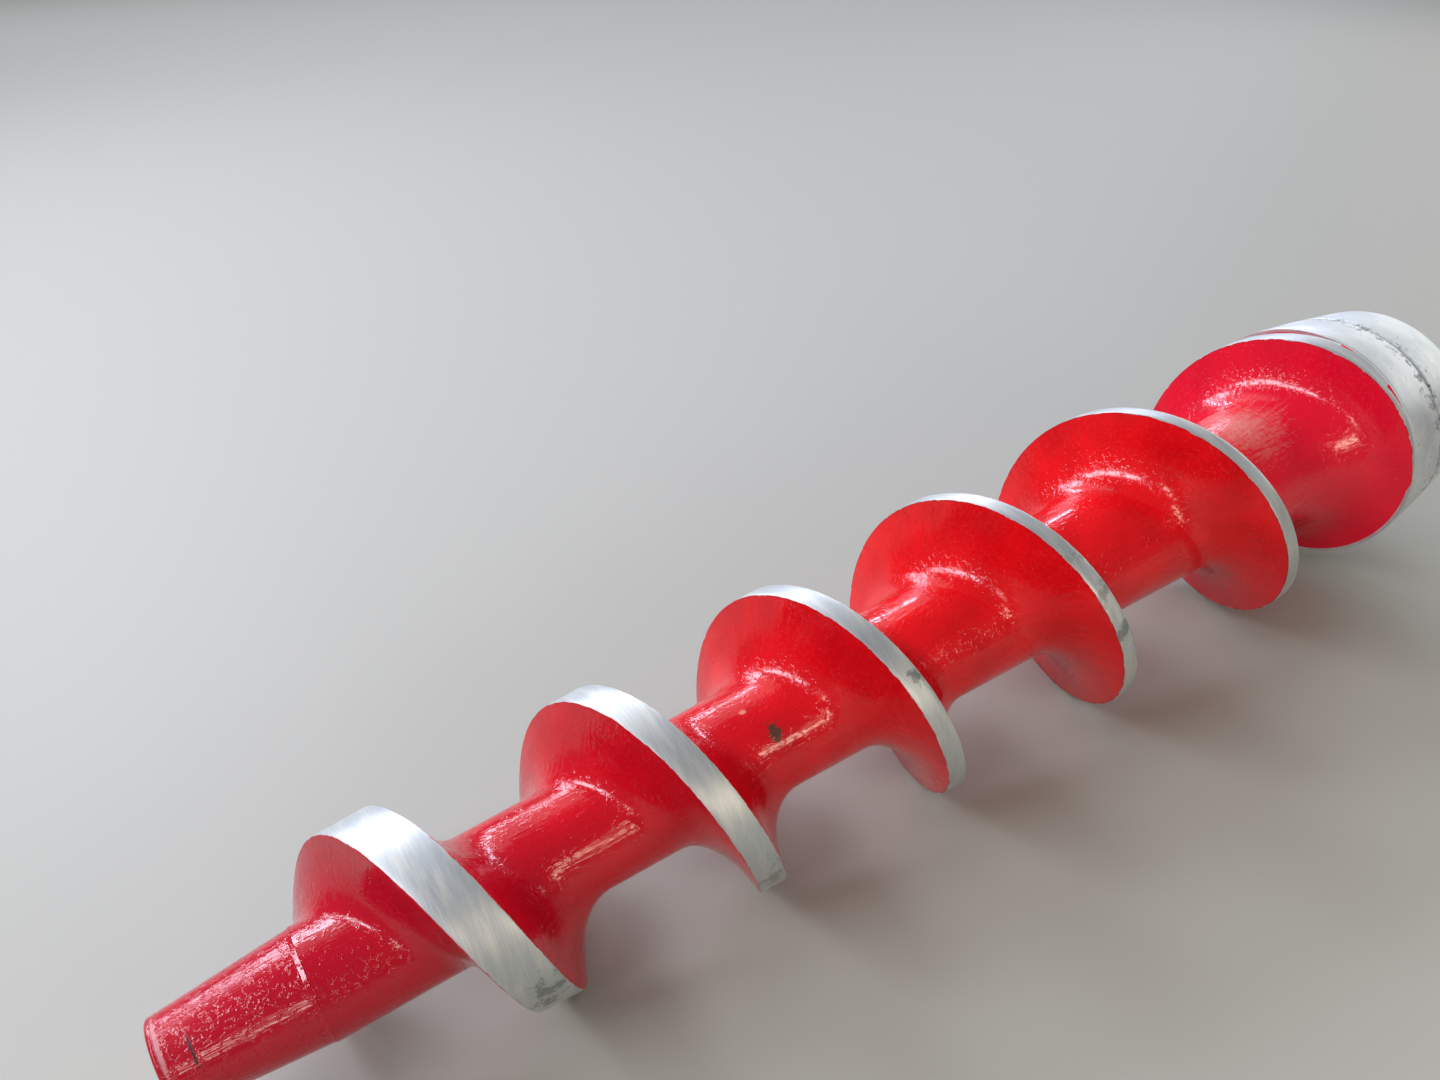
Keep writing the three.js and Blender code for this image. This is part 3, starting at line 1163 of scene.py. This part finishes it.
@dataclass
class Studio:
    """Plain pale floor, soft light and the photograph's viewpoint."""

    eye: tuple[float, float, float] = (-1.0822, -1.0405, 1.4275)
    azimuth: float = 31.983
    depression: float = 33.581
    roll: float = -2.578
    lens: float = 26.83
    floor_size: float = 40.0
    floor_colour: str = "A09F93"
    floor_rough: float = 0.55
    roof_strength: float = 0.6
    roof_spread: float = math.radians(50)
    roof_place: tuple[float, float, float] = (0.6, 3.0, 3.2)
    room_colour: str = "E2E8F2"
    room_strength: float = 0.17
    lit_point: tuple[float, float, float] = (0.2, 0.0, 0.2)
    lamps: tuple[Lamp, ...] = (
        Lamp("far_windows", (4.5, 13.5, 8.1), (27.0, 0.9), 2350.0, "E4E8FF"),
        Lamp("far_door", (-2.2, 6.4, 5.2), (2.4, 1.6), 210.0, "E4E8FF"),
        Lamp("rear_gate", (8.5, -0.3, 3.0), (8.0, 1.8), 160.0),
        Lamp("near_window", (-2.8, -4.0, 2.1), (1.4, 0.5), 25.0, "FFF3EE"),
        Lamp("near_gate", (0.6, -4.0, 1.7), (2.2, 0.5), 43.0, "FFEDD6"),
        Lamp("open_door", (-4.6, 0.6, 5.3), (7.5, 1.0), 415.0, "F0F1FF"),
    )

    def build(self) -> None:
        """Sets up the camera, the floor and the lights."""
        self.aim_camera()
        self.lay_floor()
        self.light()

    def aim_camera(self) -> None:
        """Puts the camera where the photograph was taken from."""
        az, de, ro = (math.radians(a) for a in (self.azimuth, self.depression, self.roll))
        ahead = Vector((math.sin(az) * math.cos(de), math.cos(az) * math.cos(de), -math.sin(de)))
        level = Vector((math.cos(az), -math.sin(az), 0.0))
        upright = level.cross(ahead)
        right = level * math.cos(ro) + upright * math.sin(ro)
        up = upright * math.cos(ro) - level * math.sin(ro)
        lens = bpy.data.cameras.new("viewpoint")
        lens.lens = self.lens
        camera = bpy.data.objects.new("viewpoint", lens)
        camera.matrix_world = Matrix.Translation(self.eye) @ Matrix((right, up, -ahead)).transposed().to_4x4()
        bpy.context.scene.collection.objects.link(camera)
        bpy.context.scene.camera = camera

    def lay_floor(self) -> None:
        """Lays the plain floor under the screw."""
        half = self.floor_size / 2
        mesh = bpy.data.meshes.new("floor")
        corners = [(-half, -half, 0.0), (half, -half, 0.0), (half, half, 0.0), (-half, half, 0.0)]
        mesh.from_pydata(corners, [], [(0, 1, 2, 3)])
        floor = bpy.data.objects.new("floor", mesh)
        bpy.context.scene.collection.objects.link(floor)
        paint = bpy.data.materials.new("plain_floor")
        paint.use_nodes = True
        shader = paint.node_tree.nodes["Principled BSDF"]
        shader.inputs["Base Color"].default_value = linear(self.floor_colour)
        shader.inputs["Roughness"].default_value = self.floor_rough
        mesh.materials.append(paint)

    def light(self) -> None:
        """Hangs soft lights over the screw and lights the room around it."""
        for lamp in self.lamps:
            panel = bpy.data.lights.new(lamp.name, "AREA")
            panel.shape = "RECTANGLE"
            panel.size, panel.size_y = lamp.size
            panel.energy = lamp.power
            panel.color = linear(lamp.tint)[:3]
            self.hang(panel, lamp.place)
        roof = bpy.data.lights.new("roof_lights", "SUN")
        roof.energy = self.roof_strength
        roof.angle = self.roof_spread
        self.hang(roof, self.roof_place)
        world = bpy.data.worlds.new("bright_workshop")
        world.use_nodes = True
        backdrop = world.node_tree.nodes["Background"]
        backdrop.inputs["Color"].default_value = linear(self.room_colour)
        backdrop.inputs["Strength"].default_value = self.room_strength
        bpy.context.scene.world = world
        bpy.context.scene.view_settings.view_transform = "Standard"

    def hang(self, lamp: bpy.types.Light, place: tuple[float, float, float]) -> None:
        """Hangs a lamp in a place, aimed at the screw.

        Args:
            lamp: The lamp's own data.
            place: Where it hangs, in metres.
        """
        holder = bpy.data.objects.new(lamp.name, lamp)
        holder.location = place
        aim = Vector(self.lit_point) - Vector(place)
        holder.rotation_euler = aim.to_track_quat("-Z", "Y").to_euler()
        bpy.context.scene.collection.objects.link(holder)


def main() -> None:
    """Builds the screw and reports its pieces."""
    logging.basicConfig(level=logging.INFO, format="%(message)s")
    Studio().build()
    lathe = Lathe()
    steel = TurnedSteel().build()
    for assembly in (Nose(lathe), Casting(lathe, steel), Rim(), Hub(lathe, steel)):
        for piece in assembly.build():
            piece.place()


if __name__ == "__main__":
    main()
